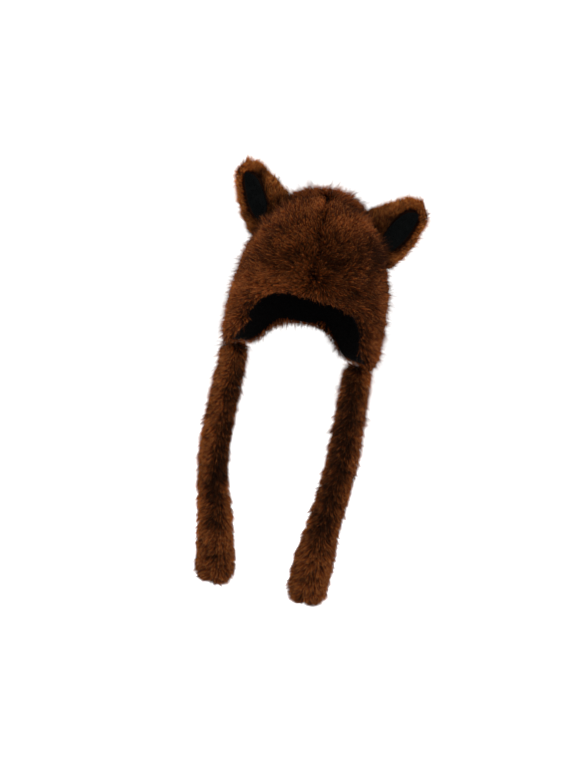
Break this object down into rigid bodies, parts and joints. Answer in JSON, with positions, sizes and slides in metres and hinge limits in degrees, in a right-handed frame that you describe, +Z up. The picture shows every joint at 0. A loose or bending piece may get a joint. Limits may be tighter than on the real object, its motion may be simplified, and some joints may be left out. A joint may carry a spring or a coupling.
{
  "type": "fox ear hat",
  "caption": "Long-fur hood hat with upright fox ears, ear flaps, black plush lining and two stuffed fur ties hanging from the flaps.",
  "frame": {"origin": "where the top of the wearer's head meets the inside of the lining", "axes": "+Z up out of the head, -Y to the wearer's front, -X on the left of a front view"},
  "size_m": [0.2742, 0.2313, 0.6037],
  "materials": {
    "crown_fur": "long brown fur with dark roots and light tips, lying down and away from the crown's top",
    "ear_fur": "long brown fur, lighter and more orange towards the tips of the ears",
    "tie_fur": "long brown fur round a soft filling, darker down the middle",
    "lining_plush": "black short-pile plush",
    "ear_velvet": "black velvet"
  },
  "bodies": {
    "root": {"crown_front_left": "crown_fur", "crown_front_right": "crown_fur", "crown_back": "crown_fur", "lining": "lining_plush", "ear_left": "ear_fur", "ear_right": "ear_fur", "ear_panel_left": "ear_velvet", "ear_panel_right": "ear_velvet", "tie_left": "tie_fur", "tie_right": "tie_fur"}
  },
  "joints": []
}
